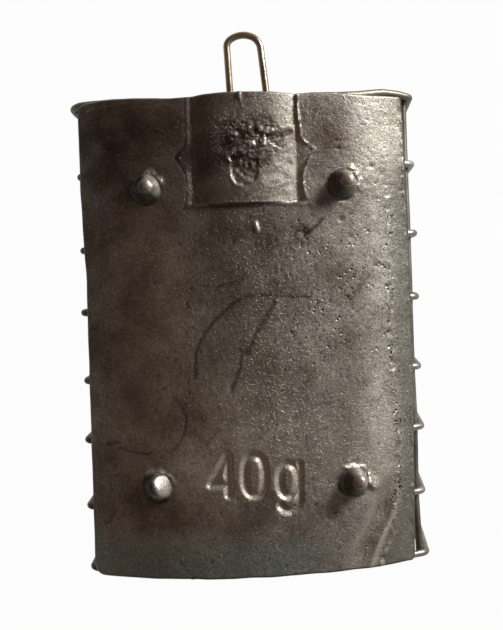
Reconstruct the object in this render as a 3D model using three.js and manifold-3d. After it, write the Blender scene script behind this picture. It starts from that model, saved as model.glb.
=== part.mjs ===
// Cage feeder: a tube of welded wire mesh whose two long edges are cast into a convex lead plate,
// with a wire link cast into the plate's head for the line. Millimetres, +Z up.
// The feeder lies on the flat run of its cage, plate uppermost. +Y points to the link, +X across.
// The origin is at the middle of the footprint, on the surface that the cage rests on.

import * as THREE from "three";
import { mergeVertices } from "three/addons/utils/BufferGeometryUtils.js";
import Module from "manifold-3d";

// Lead plate
const plateLength = 45.4;
const plateWidth = 31.6;
const plateThickness = 2.25;
const plateRadius = 31; // outer face
const cageDepth = 27.6; // from the surface it lies on to the crown of the plate

// Pocket in the head of the plate, and the barrel of lead in it that holds the link
const pocketLength = 10.8;
const pocketWallRun = 1.0; // width of each sloped side wall
const barrelWidth = 10.2;
const barrelRadius = 11.2;
const barrelRise = 0.12; // crown of the barrel above the crown of the plate

// Grip studs, cast with the plate and standing straight up from it
const studSpacingAcross = 19.2;
const studSpacingAlong = 28.7;
const studHeight = 2.4;
const studBaseDiameter = 2.7;
const studTipDiameter = 1.2;
const studRoot = 1.1; // depth to which the stud's own form runs into the plate

// Mesh of the cage
const wireDiameter = 0.7;
const openCells = 11; // cells between the two edge wires, going round outside the lead
const hoopPitch = 6.32;
const hoopDrift = [0, 0.3, 0.94, 0.7, 1.09, 0.41, 0.32, -0.02]; // how far below its pitch each hoop lies
const topHoopInset = 0.1; // top hoop, below the end face of the plate
const weldGap = 0.05; // between a long wire and the hoops that it is welded to
const wireOverhang = 0.5; // long wires beyond the first and last hoop
const hoopStub = 0.7; // hoops beyond the last long wire in the lead
const hoopDepth = 0.85; // centre of a hoop above the inner face of the plate
const hoopExit = 0.25; // run of a hoop outside the plate before it bends down
const edgeWireDrop = 0.45; // edge long wire below the hoop's bend
const wiresInLead = 2; // long wires cast into each side of the plate
const edgeBendRadius = 1.2;
const rearBendRadius = 6.0;
const sideFlare = THREE.MathUtils.degToRad(2.5);

// Link for the line
const linkWireDiameter = 0.65;
const linkReach = 5.8; // top of the link beyond the end face of the plate
const linkTopRadius = 1.65; // to the middle of the wire
const linkRootRadius = 1.05;
const linkRootDepth = 8.8; // foot of the link below the end face
const linkKneeSpan = 3.56; // between the legs where they leave the lead, to the middle of the wire
const linkKneeDepth = 0.5; // knees of the legs below the end face
const linkKneeRadius = 1.3;
const linkButtGap = 0.4; // between the two cut ends of its wire
const linkSink = 0.95; // middle of its wire below the crown of the plate

// Room that the lead leaves round a wire
const castClearance = 0.05;

// Facets
const wireSides = 8;
const studSides = 20;
const studTipSteps = 4;
const plateArcSteps = 36;
const barrelArcSteps = 12;
const leadArcSteps = 4;
const edgeBendSteps = 5;
const rearBendSteps = 6;
const linkTopSteps = 12;
const linkRootSteps = 5;
const linkKneeSteps = 2;
const sameVertex = 1e-4; // vertices nearer to each other than this are one

const wasm = await Module();
wasm.setup();

const wireRadius = wireDiameter / 2;
const plateHalfWidth = plateWidth / 2;
const plateTop = plateLength / 2;
const arcCentreHeight = cageDepth - plateRadius;

// Height of the plate's outer face at a distance from its middle.
function plateHeight(x) {
  return arcCentreHeight + Math.sqrt(plateRadius ** 2 - x ** 2);
}

// Wire bent in one plane: straight runs and round bends, one after the other.
// Each run has a length, the angle that it turns (anticlockwise is positive) and its number of facets.
class BentWire extends THREE.Curve {
  constructor({ origin, across, up, start, heading, runs }) {
    super();
    Object.assign(this, { origin, across, up, pieces: [] });
    let point = start;
    let angle = heading;
    for (const run of runs) {
      for (let step = 0; step < run.steps; step += 1) {
        const piece = { point, angle, length: run.length / run.steps, turn: run.turn / run.steps };
        this.pieces.push(piece);
        point = this.along(piece, 1);
        angle += piece.turn;
      }
    }
  }

  // Point of the wire's plane at a fraction of one piece.
  along({ point, angle, length, turn }, fraction) {
    if (turn === 0) {
      return new THREE.Vector2(Math.cos(angle), Math.sin(angle)).multiplyScalar(length * fraction).add(point);
    }
    const radius = length / turn;
    const end = angle + turn * fraction;
    const step = new THREE.Vector2(Math.sin(end) - Math.sin(angle), Math.cos(angle) - Math.cos(end));
    return step.multiplyScalar(radius).add(point);
  }

  // Point and heading in the wire's plane at a distance from its start.
  at(distance) {
    let left = distance;
    let piece = this.pieces[0];
    for (piece of this.pieces) {
      if (left <= piece.length) {
        break;
      }
      left -= piece.length;
    }
    const fraction = left / piece.length;
    return { point: this.along(piece, fraction), heading: piece.angle + piece.turn * fraction };
  }

  pieceAt(t) {
    const place = t * this.pieces.length;
    const index = Math.min(Math.floor(place), this.pieces.length - 1);
    return { piece: this.pieces[index], fraction: place - index };
  }

  getPoint(t, target = new THREE.Vector3()) {
    const { piece, fraction } = this.pieceAt(t);
    const flat = this.along(piece, fraction);
    return target.copy(this.origin).addScaledVector(this.across, flat.x).addScaledVector(this.up, flat.y);
  }

  getTangent(t, target = new THREE.Vector3()) {
    const { piece, fraction } = this.pieceAt(t);
    const angle = piece.angle + piece.turn * fraction;
    target.set(0, 0, 0).addScaledVector(this.across, Math.cos(angle));
    return target.addScaledVector(this.up, Math.sin(angle));
  }

  // Facets follow the pieces, so a tight bend has as many as a wide one.
  getUtoTmapping(u) {
    return u;
  }
}

// Section of a wire, with a flat towards each side, so that crossing wires meet on flats.
function wireSection(radius) {
  const corner = radius / Math.cos(Math.PI / wireSides);
  const shape = new THREE.Shape();
  for (let side = 0; side < wireSides; side += 1) {
    const angle = ((side + 0.5) * 2 * Math.PI) / wireSides;
    const point = [corner * Math.cos(angle), corner * Math.sin(angle)];
    if (side === 0) {
      shape.moveTo(...point);
    } else {
      shape.lineTo(...point);
    }
  }
  return shape;
}

function sweptWire(path, radius) {
  return new THREE.ExtrudeGeometry(wireSection(radius), {
    extrudePath: path,
    steps: path.pieces.length,
    bevelEnabled: false,
  });
}

function solidOf(geometry) {
  const bare = geometry.clone();
  bare.deleteAttribute("normal");
  bare.deleteAttribute("uv");
  const merged = mergeVertices(bare, sameVertex);
  return new wasm.Manifold(
    new wasm.Mesh({
      numProp: 3,
      vertProperties: merged.attributes.position.array,
      triVerts: new Uint32Array(merged.index.array),
    }),
  );
}

function geometryOf(solid) {
  const mesh = solid.getMesh();
  const positions = new Float32Array((mesh.vertProperties.length / mesh.numProp) * 3);
  for (let vertex = 0; vertex < positions.length / 3; vertex += 1) {
    for (let axis = 0; axis < 3; axis += 1) {
      positions[3 * vertex + axis] = mesh.vertProperties[mesh.numProp * vertex + axis];
    }
  }
  const geometry = new THREE.BufferGeometry();
  geometry.setAttribute("position", new THREE.BufferAttribute(positions, 3));
  geometry.setIndex(new THREE.BufferAttribute(new Uint32Array(mesh.triVerts), 1));
  geometry.computeVertexNormals();
  return geometry;
}

// The hoop's route, seen along Y. It leaves the lead, turns down, runs along the side, the rear and
// the other side, and goes back into the lead. Angles are from the crown of the plate.
function planHoop() {
  const radius = plateRadius - plateThickness + hoopDepth;
  const faceAngle = Math.asin(plateHalfWidth / radius);
  const bendAngle = faceAngle + hoopExit / radius;
  const sideAngle = Math.PI / 2 - sideFlare;
  const edgeBend = { length: edgeBendRadius * (sideAngle - bendAngle), turn: bendAngle - sideAngle };
  const bendFoot = new THREE.Vector2(
    radius * Math.sin(bendAngle) + edgeBendRadius * (Math.sin(sideAngle) - Math.sin(bendAngle)),
    arcCentreHeight + radius * Math.cos(bendAngle) - edgeBendRadius * (Math.cos(bendAngle) - Math.cos(sideAngle)),
  );
  const sideDrop = bendFoot.y - wireRadius - rearBendRadius * (1 + Math.cos(sideAngle));
  const side = sideDrop / Math.sin(sideAngle);
  const rearBend = { length: rearBendRadius * (Math.PI - sideAngle), turn: sideAngle - Math.PI };
  const rear = 2 * (bendFoot.x + side * Math.cos(sideAngle) - rearBendRadius * Math.sin(sideAngle));

  // The long wires outside the lead divide the route between the two edge wires into equal cells.
  const outside = 2 * (side - edgeWireDrop + rearBend.length) + rear;
  const cell = outside / openCells;
  const inLead = wiresInLead * cell + hoopStub - edgeWireDrop - edgeBend.length;
  return { radius, bendAngle, edgeBend, side, rearBend, rear, cell, inLead };
}

const hoop = planHoop();

// A hoop's wire, or with a margin at its two ends the room that the lead leaves for it.
function hoopPath(margin) {
  const leadRun = hoop.inLead + margin;
  const startAngle = hoop.bendAngle - leadRun / hoop.radius;
  const lead = { length: leadRun, turn: -leadRun / hoop.radius, steps: leadArcSteps };
  const edge = { ...hoop.edgeBend, steps: edgeBendSteps };
  const side = { length: hoop.side, turn: 0, steps: 1 };
  const corner = { ...hoop.rearBend, steps: rearBendSteps };
  const rear = { length: hoop.rear, turn: 0, steps: 1 };
  return new BentWire({
    origin: new THREE.Vector3(),
    across: new THREE.Vector3(1, 0, 0),
    up: new THREE.Vector3(0, 0, 1),
    start: new THREE.Vector2(
      hoop.radius * Math.sin(startAngle),
      arcCentreHeight + hoop.radius * Math.cos(startAngle),
    ),
    heading: -startAngle,
    runs: [lead, edge, side, corner, rear, corner, side, edge, lead],
  });
}

// Places of the long wires, seen along Y: inside the hoops, from one edge in the lead to the other.
function longWirePlaces() {
  const path = hoopPath(0);
  const inset = wireDiameter + weldGap;
  const places = [];
  for (let index = 0; index <= openCells + 2 * wiresInLead; index += 1) {
    const { point, heading } = path.at(hoopStub + index * hoop.cell);
    places.push({
      x: point.x + inset * Math.sin(heading),
      z: point.y - inset * Math.cos(heading),
      heading,
      inLead: index < wiresInLead || index > openCells + wiresInLead,
    });
  }
  return places;
}

const hoopStations = hoopDrift.map((drift, index) => plateTop - topHoopInset - index * hoopPitch - drift);
const longWireTop = hoopStations[0] + wireOverhang;
const longWireFoot = hoopStations[hoopStations.length - 1] - wireOverhang;

function longWireSolidGeometry(radius, margin) {
  const corner = radius / Math.cos(Math.PI / wireSides);
  const length = longWireTop - longWireFoot + 2 * margin;
  const geometry = new THREE.CylinderGeometry(corner, corner, length, wireSides);
  return geometry.rotateY(Math.PI / wireSides);
}

function placeLongWire(object, place) {
  object.position.set(place.x, (longWireTop + longWireFoot) / 2, place.z);
  object.rotation.y = -place.heading;
  object.updateMatrix();
  return object;
}

// Leg of the link between a round bend and the knee: its length and its slant from the link's middle.
function linkLeg(bendCentre, bendRadius) {
  const toKnee = new THREE.Vector2(linkKneeSpan / 2, Math.abs(-linkKneeDepth - bendCentre));
  const reach = toKnee.length();
  const slant = Math.atan2(toKnee.x, toKnee.y) - Math.asin(bendRadius / reach);
  return { slant, length: Math.sqrt(reach ** 2 - bendRadius ** 2) };
}

// The link: two legs with a knee in each, between a round top and a narrower foot in the lead, where
// the two cut ends of the wire face each other.
function linkPath(buttGap) {
  const topCentre = linkReach - linkWireDiameter / 2 - linkTopRadius;
  const rootCentre = linkRootRadius - linkRootDepth + linkWireDiameter / 2;
  const upper = linkLeg(topCentre, linkTopRadius);
  const lower = linkLeg(rootCentre, linkRootRadius);
  const kneeTurn = upper.slant + lower.slant;
  const kneeSeat = linkKneeRadius * Math.tan(kneeTurn / 2);
  const buttAngle = buttGap / 2 / linkRootRadius;
  const rootTurn = Math.PI / 2 - lower.slant - buttAngle;
  const topTurn = Math.PI - 2 * upper.slant;
  const root = { length: linkRootRadius * rootTurn, turn: rootTurn, steps: linkRootSteps };
  const lowerLeg = { length: lower.length - kneeSeat, turn: 0, steps: 1 };
  const knee = { length: linkKneeRadius * kneeTurn, turn: kneeTurn, steps: linkKneeSteps };
  const upperLeg = { length: upper.length - kneeSeat, turn: 0, steps: 1 };
  const top = { length: linkTopRadius * topTurn, turn: topTurn, steps: linkTopSteps };
  return new BentWire({
    origin: new THREE.Vector3(0, plateTop, cageDepth - linkSink),
    across: new THREE.Vector3(1, 0, 0),
    up: new THREE.Vector3(0, 1, 0),
    start: new THREE.Vector2(
      linkRootRadius * Math.sin(buttAngle),
      rootCentre - linkRootRadius * Math.cos(buttAngle),
    ),
    heading: buttAngle,
    runs: [root, lowerLeg, knee, upperLeg, top, upperLeg, knee, lowerLeg, root],
  });
}

// Section of the plate seen along Y, with or without the pocket and its barrel.
function plateSection(withPocket) {
  const innerRadius = plateRadius - plateThickness;
  const outerAngle = Math.asin(plateHalfWidth / plateRadius);
  const innerAngle = Math.asin(plateHalfWidth / innerRadius);
  const shape = new THREE.Shape();
  shape.moveTo(-plateHalfWidth, arcCentreHeight + innerRadius * Math.cos(innerAngle));
  shape.absarc(0, arcCentreHeight, innerRadius, Math.PI / 2 + innerAngle, Math.PI / 2 - innerAngle, true);
  shape.lineTo(plateHalfWidth, plateHeight(plateHalfWidth));
  if (withPocket) {
    const lipX = barrelWidth / 2 + pocketWallRun;
    const lipAngle = Math.asin(lipX / plateRadius);
    const barrelAngle = Math.asin(barrelWidth / 2 / barrelRadius);
    const barrelCentre = cageDepth + barrelRise - barrelRadius;
    shape.absarc(0, arcCentreHeight, plateRadius, Math.PI / 2 - outerAngle, Math.PI / 2 - lipAngle, false);
    shape.lineTo(barrelWidth / 2, barrelCentre + barrelRadius * Math.cos(barrelAngle));
    shape.absarc(0, barrelCentre, barrelRadius, Math.PI / 2 - barrelAngle, Math.PI / 2 + barrelAngle, false);
    shape.lineTo(-lipX, plateHeight(lipX));
    shape.absarc(0, arcCentreHeight, plateRadius, Math.PI / 2 + lipAngle, Math.PI / 2 + outerAngle, false);
  } else {
    shape.absarc(0, arcCentreHeight, plateRadius, Math.PI / 2 - outerAngle, Math.PI / 2 + outerAngle, false);
  }
  shape.closePath();
  return shape;
}

// A stretch of the plate from one place along Y down to another.
function plateStretch(withPocket, top, foot) {
  const geometry = new THREE.ExtrudeGeometry(plateSection(withPocket), {
    depth: top - foot,
    steps: 1,
    curveSegments: withPocket ? barrelArcSteps : plateArcSteps,
    bevelEnabled: false,
  });
  geometry.rotateX(Math.PI / 2);
  geometry.translate(0, top, 0);
  return solidOf(geometry);
}

// A grip stud: a tapered peg with a round tip, standing along Z on the sloping face.
function studSolid(x, y) {
  const base = studBaseDiameter / 2;
  const tip = studTipDiameter / 2;
  const profile = [new THREE.Vector2(0, -studRoot), new THREE.Vector2(base, -studRoot), new THREE.Vector2(base, 0)];
  for (let step = 0; step <= studTipSteps; step += 1) {
    const angle = (step / studTipSteps) * (Math.PI / 2);
    const radius = step === studTipSteps ? 0 : tip * Math.cos(angle);
    profile.push(new THREE.Vector2(radius, studHeight - tip + tip * Math.sin(angle)));
  }
  const geometry = new THREE.LatheGeometry(profile, studSides);
  geometry.rotateX(Math.PI / 2);
  geometry.translate(x, y, plateHeight(x));
  return solidOf(geometry);
}

// The plate is poured round the wires: plain length, pocketed head, studs, then the room for the
// hoop ends, for the long wires in its inner face and for the link.
function leadPlateGeometry() {
  const pocketFoot = plateTop - pocketLength;
  let lead = plateStretch(false, pocketFoot, -plateTop).add(plateStretch(true, plateTop, pocketFoot));
  for (const side of [-1, 1]) {
    for (const end of [-1, 1]) {
      lead = lead.add(studSolid((side * studSpacingAcross) / 2, (end * studSpacingAlong) / 2));
    }
  }
  const hoopRoom = sweptWire(hoopPath(castClearance), wireRadius + castClearance);
  for (const station of hoopStations) {
    lead = lead.subtract(solidOf(hoopRoom.clone().translate(0, station, 0)));
  }
  const longRoom = longWireSolidGeometry(wireRadius + castClearance, castClearance);
  for (const place of longWirePlaces().filter((candidate) => candidate.inLead)) {
    const carrier = placeLongWire(new THREE.Object3D(), place);
    lead = lead.subtract(solidOf(longRoom.clone().applyMatrix4(carrier.matrix)));
  }
  const linkRoom = sweptWire(linkPath(linkButtGap - 2 * castClearance), linkWireDiameter / 2 + castClearance);
  return geometryOf(lead.subtract(solidOf(linkRoom)));
}

function leadMaterial() {
  return new THREE.MeshStandardMaterial({ color: 0x5f574f, roughness: 0.5, metalness: 0.85 });
}

function galvanisedMaterial() {
  return new THREE.MeshStandardMaterial({ color: 0xa3a098, roughness: 0.4, metalness: 0.95 });
}

function linkMaterial() {
  return new THREE.MeshStandardMaterial({ color: 0x8f8574, roughness: 0.32, metalness: 0.95 });
}

const feeder = new THREE.Group();
feeder.position.y = -linkReach / 2;

function addPiece(name, geometry, material) {
  const mesh = new THREE.Mesh(geometry, material);
  mesh.name = name;
  feeder.add(mesh);
  return mesh;
}

addPiece("lead_plate", leadPlateGeometry(), leadMaterial());
addPiece("tow_link", sweptWire(linkPath(linkButtGap), linkWireDiameter / 2), linkMaterial());

const hoopGeometry = sweptWire(hoopPath(0), wireRadius);
hoopStations.forEach((station, index) => {
  addPiece(`hoop_wire_${index + 1}`, hoopGeometry, galvanisedMaterial()).position.y = station;
});

const longWireGeometry = longWireSolidGeometry(wireRadius, 0);
longWirePlaces().forEach((place, index) => {
  placeLongWire(addPiece(`long_wire_${index + 1}`, longWireGeometry, galvanisedMaterial()), place);
});

export default feeder;
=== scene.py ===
import math

import bpy
import numpy as np
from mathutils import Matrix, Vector


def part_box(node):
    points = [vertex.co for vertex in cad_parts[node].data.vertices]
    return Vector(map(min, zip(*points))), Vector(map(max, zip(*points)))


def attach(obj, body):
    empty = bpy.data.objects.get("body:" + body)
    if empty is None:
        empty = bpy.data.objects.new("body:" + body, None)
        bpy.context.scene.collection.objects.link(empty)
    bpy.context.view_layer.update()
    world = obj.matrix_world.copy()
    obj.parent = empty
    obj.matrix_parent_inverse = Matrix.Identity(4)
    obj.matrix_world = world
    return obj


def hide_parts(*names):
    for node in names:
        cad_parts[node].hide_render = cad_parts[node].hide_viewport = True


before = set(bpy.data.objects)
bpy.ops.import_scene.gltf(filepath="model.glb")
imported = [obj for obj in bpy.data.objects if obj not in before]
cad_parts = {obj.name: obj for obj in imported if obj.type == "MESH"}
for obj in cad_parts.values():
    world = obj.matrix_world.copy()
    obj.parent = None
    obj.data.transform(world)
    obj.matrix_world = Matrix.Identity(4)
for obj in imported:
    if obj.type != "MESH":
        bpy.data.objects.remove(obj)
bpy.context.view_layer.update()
mm = 0.001  # every size below is in millimetres, every mesh in metres
plateMiddle = -2.9  # the plate's own middle along Y, from which its details are measured

# Camera


def addCamera():
    # straight above the plate, a little to its right, as the photograph was taken
    view = {
        "place": (4.13, 3.254, 127.6),
        "turn": (-2.407, 2.058, -1.366),  # degrees
        "lens": 40.79,
        "sensor": 24,
        "near": 5,
    }
    data = bpy.data.cameras.new("camera")
    data.sensor_fit = "VERTICAL"
    data.sensor_height = view["sensor"]
    data.lens = view["lens"]
    data.clip_start = view["near"] * mm
    camera = bpy.data.objects.new("camera", data)
    camera.location = Vector(view["place"]) * mm
    camera.rotation_euler = [math.radians(angle) for angle in view["turn"]]
    bpy.context.scene.collection.objects.link(camera)
    bpy.context.scene.camera = camera


# Materials


def linearColour(hexColour):
    # sRGB hex to the linear colour that a socket takes
    parts = [int(hexColour[k : k + 2], 16) / 255 for k in (1, 3, 5)]
    linear = [p / 12.92 if p <= 0.04045 else ((p + 0.055) / 1.055) ** 2.4 for p in parts]
    return (*linear, 1.0)


def addNode(tree, kind, settings=None, inputs=None):
    # one node with its settings; an input, by name or number, is a value, a hex colour or a socket to link from
    node = tree.nodes.new(kind)
    for name, value in (settings or {}).items():
        setattr(node, name, value)
    for name, value in (inputs or {}).items():
        if isinstance(value, bpy.types.NodeSocket):
            tree.links.new(value, node.inputs[name])
        else:
            node.inputs[name].default_value = linearColour(value) if isinstance(value, str) else value
    return node


def arithmetic(tree, operation, *values):
    return addNode(tree, "ShaderNodeMath", {"operation": operation}, dict(enumerate(values))).outputs[0]


def mixColours(tree, factor, first, second, blend="MIX"):
    settings = {"data_type": "RGBA", "blend_type": blend}
    return addNode(tree, "ShaderNodeMix", settings, {0: factor, 6: first, 7: second}).outputs[2]


def perSize(size):
    # texture scale for a pattern of that size in mm
    return 1 / (size * mm)


def noise(tree, place, size, detail, rough=0.5):
    inputs = {"Vector": place, "Scale": perSize(size), "Detail": detail, "Roughness": rough}
    return addNode(tree, "ShaderNodeTexNoise", inputs=inputs).outputs["Fac"]


def ramp(tree, factor, stops):
    # stops of a position and a grey level or a hex colour
    node = addNode(tree, "ShaderNodeValToRGB", inputs={"Fac": factor})
    elements = node.color_ramp.elements
    while len(elements) < len(stops):
        elements.new(0.5)
    for element, (position, colour) in zip(elements, stops):
        element.position = position
        element.color = linearColour(colour) if isinstance(colour, str) else (colour, colour, colour, 1)
    return node.outputs["Color"]


def mapRange(tree, value, low, high, toLow=0.0, toHigh=1.0):
    inputs = {"Value": value, "From Min": low, "From Max": high, "To Min": toLow, "To Max": toHigh}
    return addNode(tree, "ShaderNodeMapRange", inputs=inputs).outputs["Result"]


def bumped(tree, height, distance, below=None, invert=False):
    inputs = {"Height": height, "Distance": distance * mm, "Strength": 1.0}
    if below:
        inputs["Normal"] = below
    return addNode(tree, "ShaderNodeBump", {"invert": invert}, inputs).outputs["Normal"]


def newMaterial(name):
    material = bpy.data.materials.new(name)
    material.use_nodes = True
    material.node_tree.nodes.clear()
    return material, material.node_tree


def setSurface(tree, inputs):
    shader = addNode(tree, "ShaderNodeBsdfPrincipled", inputs=inputs)
    addNode(tree, "ShaderNodeOutputMaterial", inputs={"Surface": shader.outputs["BSDF"]})


def castLead():
    # Gravity-cast lead, years old: a thin brown oxide film over soft grey metal. It stays a satin metal,
    # dull and brown where it faces away from the light, pale and glittering where it faces it.
    look = {
        "filmShades": [(0.32, "#5f554c"), (0.5, "#7a756d"), (0.68, "#928d85")],
        # the pale grey is both scraped film and painted highlight; the dark brown below is both dirt and painted shade
        "scrapedAndLit": "#a5a195",
        "tarnish": "#74827b",
        "dirtAndShade": "#281912",
        "dust": "#a9a69e",
        # size, detail and roughness of each pattern
        "patches": (4.5, 5, 0.6),
        "grain": (0.2, 3, 0.6),
        "coarse": (0.6, 3, 0.6),
        "crumbs": (0.27, 3, 0.55),
        "clusters": (2.6, 2),  # of pits
        "dustSpecks": (0.22, 1, 0.4),
        "pitSpacing": 0.62,
        # where each pattern sets in, and how strongly
        "grainShades": [(0.3, 0.6), (0.5, 1.0), (0.68, 1.25)],
        "crumbStops": [(0.57, 0.0), (0.63, 1.0)],
        "speckStops": [(0.34, 0.9), (0.4, 0.0)],
        "clusterStops": [(0.44, 0.0), (0.58, 1.0)],
        "pitStops": [(0.13, 1.0), (0.3, 0.0)],
        "pitShades": [(0.3, 0.55), (0.6, 0.9)],
        "dustStops": [(0.73, 0.0), (0.77, 0.8)],
        "coarseHeight": 0.03,
        "crumbHeight": 0.07,
        "pitHeight": 0.052,
        "grainHeight": 0.02,
        "roughness": (0.35, 0.65, 0.36, 0.52),  # of the coarse pattern's range, and what it becomes
        "rubbed": 0.3,
        "metal": 0.75,  # the rest is the matt film
        "reflection": 0.3,
    }
    material, tree = newMaterial("cast lead, oxidised")
    place = addNode(tree, "ShaderNodeTexCoord").outputs["Object"]

    def attribute(name):
        return addNode(tree, "ShaderNodeAttribute", {"attribute_name": name}).outputs["Fac"]

    def pattern(name):
        return noise(tree, place, *look[name])

    def shaded(factor, stops, by):
        return arithmetic(tree, "MULTIPLY", ramp(tree, factor, look[stops]), by)

    grain, coarse, chips, pitted = pattern("grain"), pattern("coarse"), pattern("crumbs"), attribute("pitted")
    crumbs = shaded(chips, "crumbStops", pitted)
    cells = addNode(tree, "ShaderNodeTexVoronoi", inputs={"Vector": place, "Scale": perSize(look["pitSpacing"])})
    crowd = arithmetic(tree, "MAXIMUM", shaded(pattern("clusters"), "clusterStops", pitted),
                       arithmetic(tree, "SUBTRACT", pitted, 1.0))
    pits = shaded(cells.outputs["Distance"], "pitStops", crowd)
    colour = ramp(tree, pattern("patches"), look["filmShades"])
    # lighter where the film is worn off, and painted highlights on faces towards the lamp, as the mesh marks them
    colour = mixColours(tree, attribute("bare"), colour, look["scrapedAndLit"])
    colour = mixColours(tree, attribute("tarnish"), colour, look["tarnish"])
    colour = mixColours(tree, 1.0, colour, ramp(tree, grain, look["grainShades"]), "MULTIPLY")
    # darker with dirt, specks and pits, and with painted shade and painted shadows as the mesh marks them
    for share in (attribute("dirtAndShade"), shaded(chips, "speckStops", pitted), shaded(grain, "pitShades", pits)):
        colour = mixColours(tree, share, colour, look["dirtAndShade"])
    colour = mixColours(tree, ramp(tree, pattern("dustSpecks"), look["dustStops"]), colour, look["dust"])
    roughness = mapRange(tree, coarse, *look["roughness"])
    rubbed = addNode(tree, "ShaderNodeMix", {"data_type": "FLOAT"},
                     {0: attribute("rubbed"), 2: roughness, 3: look["rubbed"]}).outputs[0]
    normal = bumped(tree, coarse, look["coarseHeight"])
    normal = bumped(tree, crumbs, look["crumbHeight"], normal)
    normal = bumped(tree, pits, look["pitHeight"], normal, invert=True)
    normal = bumped(tree, grain, look["grainHeight"], normal)
    setSurface(tree, {"Base Color": colour, "Metallic": look["metal"], "Roughness": rubbed,
                      "Specular IOR Level": look["reflection"], "Normal": normal})
    return material


def zincWire(name, look):
    # Drawn steel wire under zinc: a satin grey metal, clouded by the dip, with fine marks of the die
    # along it. The same maker's wire without zinc is darker and smoother.
    material, tree = newMaterial(name)
    place = addNode(tree, "ShaderNodeTexCoord").outputs["Object"]
    clouds = noise(tree, place, look["cloudSize"], 3.0)
    marks = noise(tree, place, look["markSize"], 3.0, 0.6)
    colour = ramp(tree, clouds, [(0.35, look["dark"]), (0.65, look["light"])])
    # painted shade where the look asks for it: a darker tone along the given reach of each axis
    if "leftShade" in look:
        axes = addNode(tree, "ShaderNodeSeparateXYZ", inputs={"Vector": place}).outputs
        shares = [mapRange(tree, axes[axis], clean * mm, grimy * mm)
                  for axis, (clean, grimy) in look["leftShade"]["reach"].items()]
        colour = mixColours(tree, arithmetic(tree, "MULTIPLY", *shares), colour, look["leftShade"]["colour"])
    roughness = mapRange(tree, clouds, 0.3, 0.7, *look["roughness"])
    setSurface(tree, {"Base Color": colour, "Metallic": 1.0, "Roughness": roughness,
                      "Normal": bumped(tree, marks, look["markHeight"])})
    return material


def paleFloorMaterial():
    # matt pale board; the camera and metal see it whiter, with the shadow kept
    look = {"colour": "#b4b3b0", "roughness": 0.9, "whitening": 0.97, "whiteningInMetal": 0.45}
    material, tree = newMaterial("matt white board")
    board = addNode(tree, "ShaderNodeBsdfDiffuse", inputs={"Color": look["colour"], "Roughness": look["roughness"]})
    white = addNode(tree, "ShaderNodeEmission", inputs={"Strength": 1.0})
    path = addNode(tree, "ShaderNodeLightPath").outputs
    mirrored = arithmetic(tree, "MAXIMUM", path["Is Glossy Ray"], path["Is Transmission Ray"])
    inMetal = arithmetic(tree, "MULTIPLY", mirrored, look["whiteningInMetal"])
    share = arithmetic(tree, "MULTIPLY_ADD", path["Is Camera Ray"], look["whitening"], inMetal)
    mix = addNode(tree, "ShaderNodeMixShader", inputs={0: share, 1: board.outputs[0], 2: white.outputs[0]})
    addNode(tree, "ShaderNodeOutputMaterial", inputs={"Surface": mix.outputs["Shader"]})
    return material


# Meshes


def meshPiece(name, points, faces, material):
    # a mesh object from points in mm
    mesh = bpy.data.meshes.new(name)
    mesh.from_pydata((np.asarray(points) * mm).tolist(), [], faces)
    mesh.validate()
    mesh.update()
    mesh.materials.append(material)
    piece = bpy.data.objects.new(name, mesh)
    bpy.context.scene.collection.objects.link(piece)
    return piece


def plainCopy(piece, name):
    # the evaluated shape as a plain mesh, with no modifier left
    graph = bpy.context.evaluated_depsgraph_get()
    mesh = bpy.data.meshes.new_from_object(piece.evaluated_get(graph))
    result = bpy.data.objects.new(name, mesh)
    bpy.context.scene.collection.objects.link(result)
    bpy.data.objects.remove(piece)
    mesh.name = name
    result.name = name
    return result


def ringFaces(rings, sides, crown=None):
    # faces of rings of points: a fan round point 0, squares, and a fan round the crown if there is one
    faces = []
    for side in range(sides):
        after = (side + 1) % sides
        faces.append((0, 1 + after, 1 + side))
        for low in range(1, 1 + (rings - 1) * sides, sides):
            faces.append((low + side, low + after, low + sides + after, low + sides + side))
        if crown:
            last = 1 + (rings - 1) * sides
            faces.append((last + side, last + after, crown))
    return faces


def gridFaces(index):
    # the squares of a grid of point numbers
    corners = (index[:-1, :-1], index[1:, :-1], index[1:, 1:], index[:-1, 1:])
    return np.stack([corner.ravel() for corner in corners], 1)


def smoothStep(low, high, value):
    t = np.clip((value - low) / (high - low), 0, 1)
    return t * t * (3 - 2 * t)


def between(value, rise, full, fade, end):
    # 0, up to 1, and back to 0
    return smoothStep(rise, full, value) * (1 - smoothStep(fade, end, value))


def bell(distance, width, power=2):
    return np.exp(-((distance / width) ** power))


def spot(x, y, middle, reach, power=2):
    return np.exp(-(((x - middle[0]) / reach[0]) ** power) - ((y - middle[1]) / reach[1]) ** power)


def unevenness(x, y, size, seed):
    # smooth random relief from -1 to 1, with bumps about that many mm wide
    cells = 128
    table = np.random.default_rng(seed).uniform(-1, 1, (cells, cells))
    u, v = x / size, y / size
    column, row = np.floor(u).astype(int), np.floor(v).astype(int)
    alongX, alongY = smoothStep(0, 1, u - column), smoothStep(0, 1, v - row)
    left, right = (
        table[place % cells, row % cells] * (1 - alongY) + table[place % cells, (row + 1) % cells] * alongY
        for place in (column, column + 1)
    )
    return left * (1 - alongX) + right * alongX


def strokeDistance(x, y, strokes):
    # distance to the nearest stroke; a stroke is a list of points
    nearest = np.full(x.shape, 99.0)
    for stroke in strokes:
        for (ax, ay), (bx, by) in zip(stroke, stroke[1:]):
            dx, dy = bx - ax, by - ay
            t = np.clip(((x - ax) * dx + (y - ay) * dy) / (dx * dx + dy * dy), 0, 1)
            nearest = np.minimum(nearest, np.hypot(x - ax - t * dx, y - ay - t * dy))
    return nearest


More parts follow.
